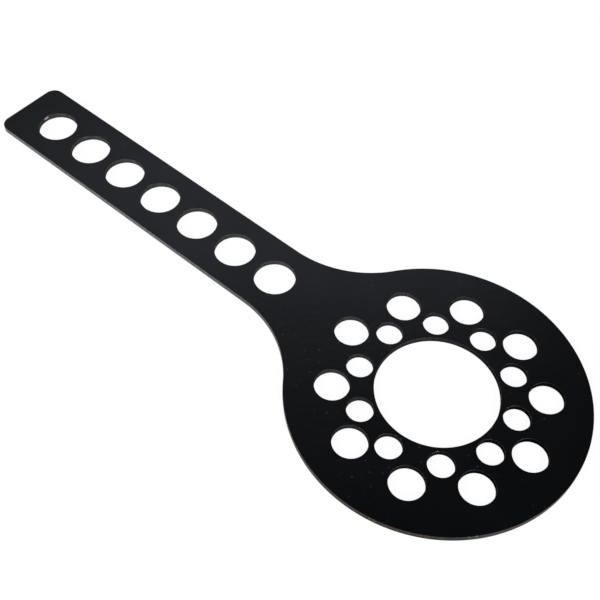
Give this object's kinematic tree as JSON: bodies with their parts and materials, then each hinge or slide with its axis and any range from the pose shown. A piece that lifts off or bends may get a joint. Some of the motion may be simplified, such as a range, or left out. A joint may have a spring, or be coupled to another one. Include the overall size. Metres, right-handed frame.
{
  "type": "primary drive lock tool",
  "caption": "Flat steel plate tool, coated black, that holds a clutch hub still: a round head with rings of pin holes round a hub opening, and a long handle pierced by a row of holes.",
  "frame": {"origin": "middle of the plate's length and width, on the back face that it lies on", "axes": "+X along the handle towards the head, +Y across the plate, +Z out of the front face; the hub axis is parallel to Z at x = 0.135 m, y = 0"},
  "size_m": [0.45, 0.18, 0.004],
  "materials": {
    "black_coat": "smooth half-gloss black coat on cut steel"
  },
  "bodies": {
    "root": {"lock_plate": "black_coat"}
  },
  "joints": []
}
